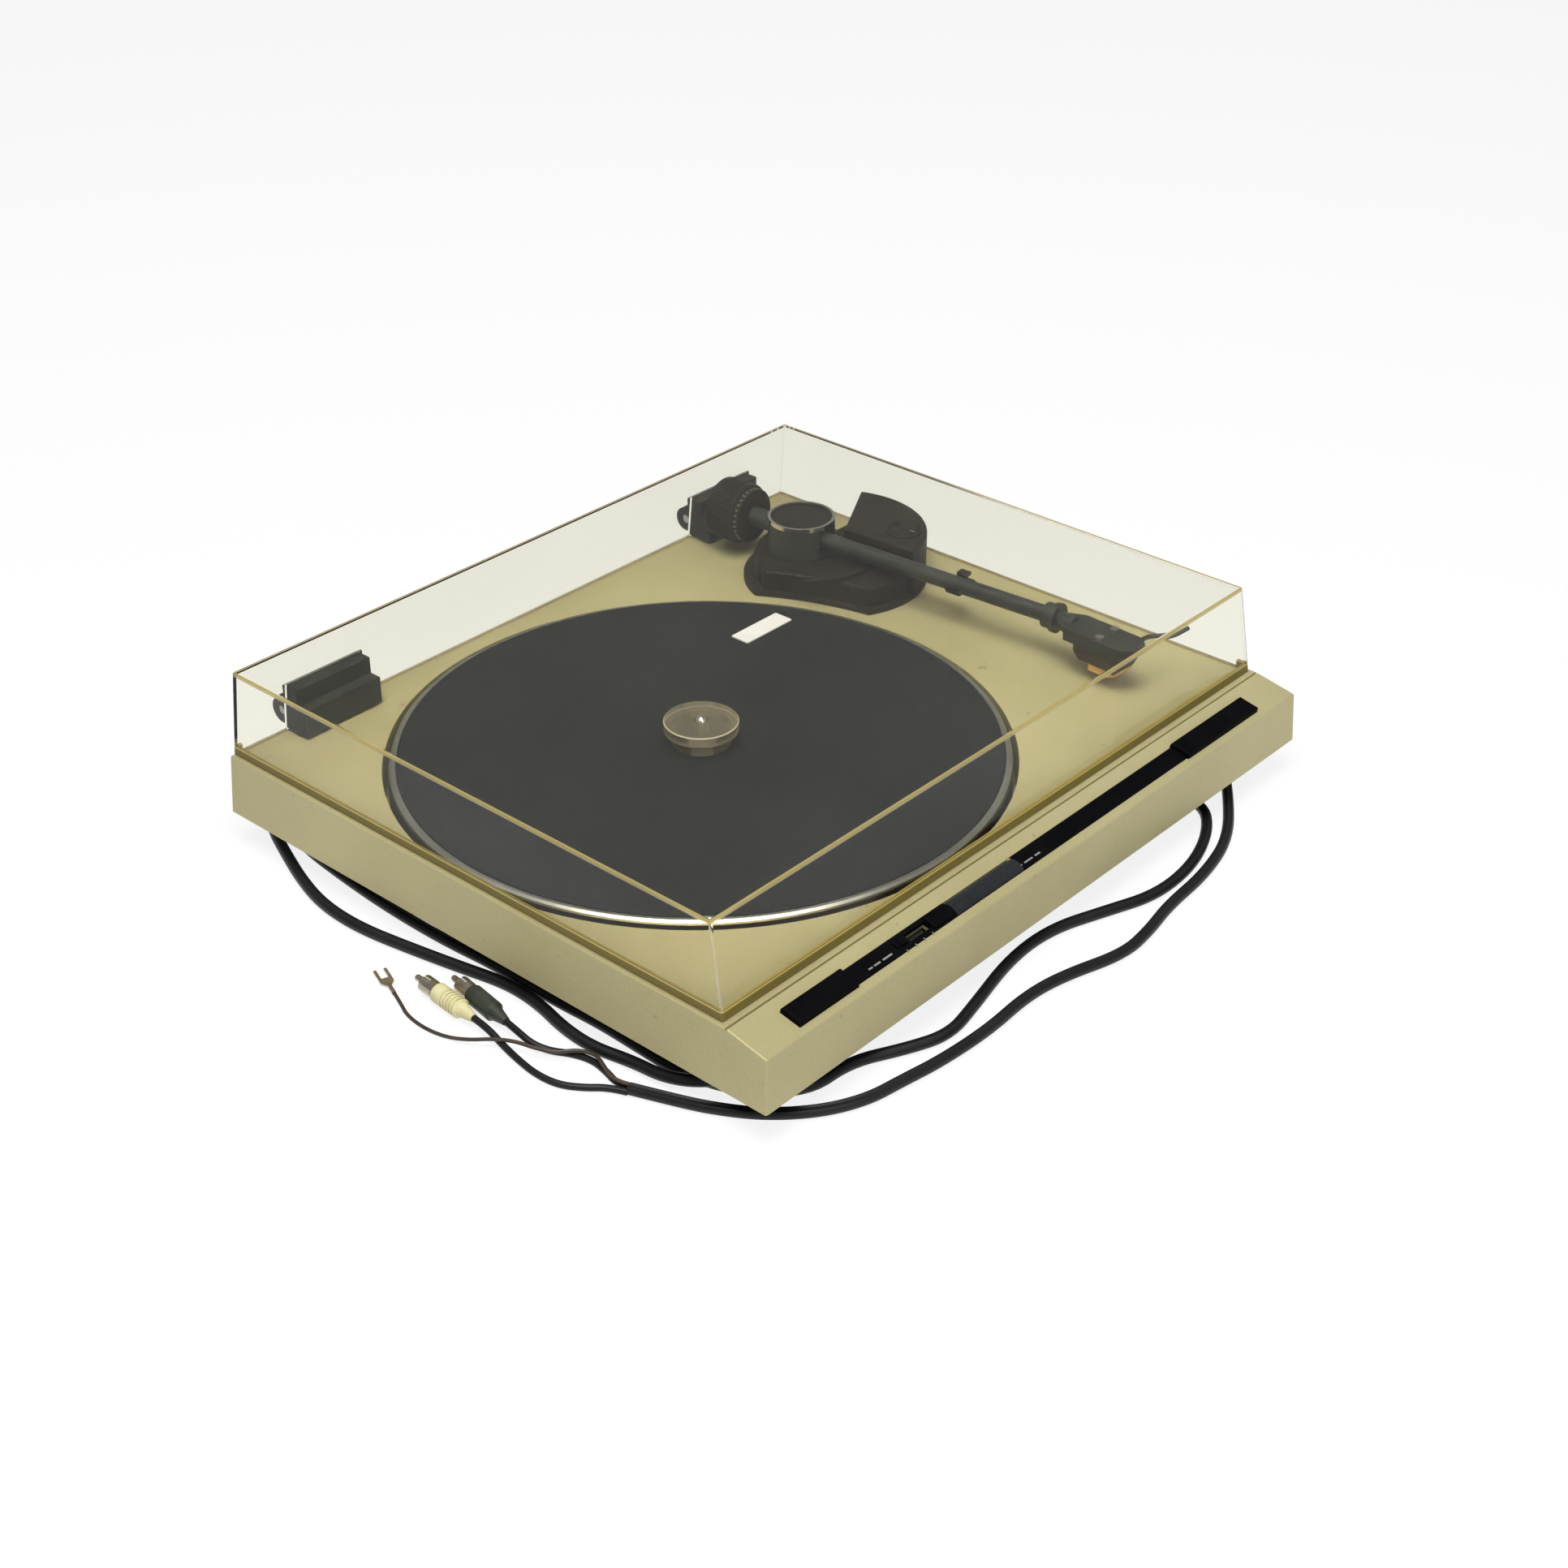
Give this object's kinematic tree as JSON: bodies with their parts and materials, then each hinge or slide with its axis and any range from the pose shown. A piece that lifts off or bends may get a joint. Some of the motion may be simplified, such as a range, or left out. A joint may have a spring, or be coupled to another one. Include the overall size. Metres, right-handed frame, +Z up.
{
  "type": "direct drive turntable",
  "caption": "Direct drive record turntable with a straight tonearm, front control strip, clear hinged dust cover and trailing cords.",
  "frame": {"origin": "middle of the footprint without the cords, on the surface that the feet stand on", "axes": "+X to the right along the front, +Y to the back, +Z up"},
  "size_m": [0.462, 0.4382, 0.0987],
  "materials": {
    "champagne": "satin",
    "black_board": "matte",
    "rubber": "matte",
    "mat_rubber": "matte",
    "steel": "satin",
    "board": "satin",
    "copper": "satin",
    "brass": "satin",
    "magnet": "matte",
    "platter_metal": "satin",
    "clear": "clear gloss",
    "cover_clear": "clear gloss",
    "core": "matte",
    "black_gloss": "gloss",
    "smoke": "gloss",
    "arm_dark": "satin",
    "arm_metal": "satin",
    "polished": "polished",
    "weight_paint": "satin",
    "cartridge_plastic": "satin",
    "orange": "gloss",
    "badge": "satin",
    "hinge_plastic": "satin",
    "cord_black": "satin",
    "cord_brown": "satin",
    "cream": "satin",
    "plug_dark": "satin",
    "nickel": "worn"
  },
  "bodies": {
    "cabinet": {"top_cabinet": "champagne", "bottom_cover": "black_board", "feet": "rubber", "fasteners": "steel", "motor_plate": "steel", "stator_board": "board", "stator_coils": "copper", "bearing_housing": "brass", "power_transformer": "core", "control_board": "board", "switch_board": "board", "control_trim": "black_gloss", "pilot_window": "smoke", "arm_base": "arm_dark", "arm_bearing": "brass", "arm_rest": "arm_dark", "hinge_sockets": "hinge_plastic", "cord_glands": "black_board", "power_cord": "cord_black", "power_coil": "cord_black", "power_tail": "cord_black", "mains_plug": "cord_black", "signal_cord": "cord_black", "white_lead": "cord_black", "dark_lead": "cord_black", "ground_lead": "cord_brown", "white_plug": "cream", "dark_plug": "plug_dark", "plug_contacts": "nickel", "ground_spade": "nickel"},
    "platter": {"platter": "platter_metal", "platter_mat": "mat_rubber", "rotor_yoke": "steel", "rotor_magnet": "magnet", "spindle_shaft": "polished", "record_adapter": "clear"},
    "cover": {"dust_cover": "cover_clear", "cover_badge": "badge", "hinge_clips": "hinge_plastic"},
    "pivot": {"pivot_housing": "arm_metal", "pitch_pins": "steel", "pivot_cap": "arm_dark", "pivot_rim": "polished"},
    "arm": {"arm_tube": "arm_metal", "shell_collar": "arm_metal", "headshell": "arm_metal", "shell_screws": "steel", "cartridge": "cartridge_plastic", "stylus_holder": "orange", "stylus": "steel", "finger_lift": "arm_metal"},
    "weight": {"counterweight": "weight_paint", "scale_ring": "arm_dark"},
    "dial": {"bias_dial": "arm_dark"},
    "left_key": {"speed_button": "black_gloss"},
    "right_key": {"start_button": "black_gloss"},
    "lift_key": {"lift_button": "black_gloss"},
    "slider": {"size_slide": "black_gloss"},
    "lifter": {"lift_bar": "arm_metal"},
    "clip": {"rest_clip": "arm_dark"}
  },
  "joints": [
    {"name": "platter_spin", "type": "hinge", "parent": "cabinet", "child": "platter", "pos_m": [-0.04562, 0.00578, 0.05], "axis": [0, 0, -1], "continuous": true},
    {"name": "cover_open", "type": "hinge", "parent": "cabinet", "child": "cover", "pos_m": [0, 0.178, 0.061], "axis": [-1, 0, 0], "range_deg": [0, 75]},
    {"name": "arm_swing", "type": "hinge", "parent": "cabinet", "child": "pivot", "pos_m": [0.1357, 0.098, 0.074], "axis": [0, 0, -1], "range_deg": [0, 53]},
    {"name": "arm_dip", "type": "hinge", "parent": "pivot", "child": "arm", "pos_m": [0.1357, 0.098, 0.074], "axis": [-0.9974, -0.0725, 0], "range_deg": [0, 3.5]},
    {"name": "weight_turn", "type": "hinge", "parent": "arm", "child": "weight", "pos_m": [0.13244, 0.14288, 0.074], "axis": [0.0725, -0.9974, 0], "continuous": true},
    {"name": "dial_turn", "type": "hinge", "parent": "cabinet", "child": "dial", "pos_m": [0.1665, 0.0485, 0.08], "axis": [0, 0, 1], "range_deg": [0, 270]},
    {"name": "left_key_press", "type": "slide", "parent": "cabinet", "child": "left_key", "axis": [0, 0.1969, -0.9804], "range_m": [0, 0.0016], "stiffness_N_per_m": 300, "springref_m": -0.002},
    {"name": "right_key_press", "type": "slide", "parent": "cabinet", "child": "right_key", "axis": [0, 0.1969, -0.9804], "range_m": [0, 0.0016], "stiffness_N_per_m": 300, "springref_m": -0.002},
    {"name": "lift_key_press", "type": "slide", "parent": "cabinet", "child": "lift_key", "axis": [0, 0.1969, -0.9804], "range_m": [0, 0.0016], "stiffness_N_per_m": 300, "springref_m": -0.002},
    {"name": "size_slide_move", "type": "slide", "parent": "cabinet", "child": "slider", "axis": [1, 0, 0], "range_m": [0, 0.015]},
    {"name": "arm_lift", "type": "slide", "parent": "cabinet", "child": "lifter", "axis": [0, 0, 1], "range_m": [0, 0.0024]},
    {"name": "clip_turn", "type": "hinge", "parent": "cabinet", "child": "clip", "pos_m": [0.14952, -0.00657, 0.0772], "axis": [0.0725, -0.9974, 0], "range_deg": [0, 150]}
  ]
}
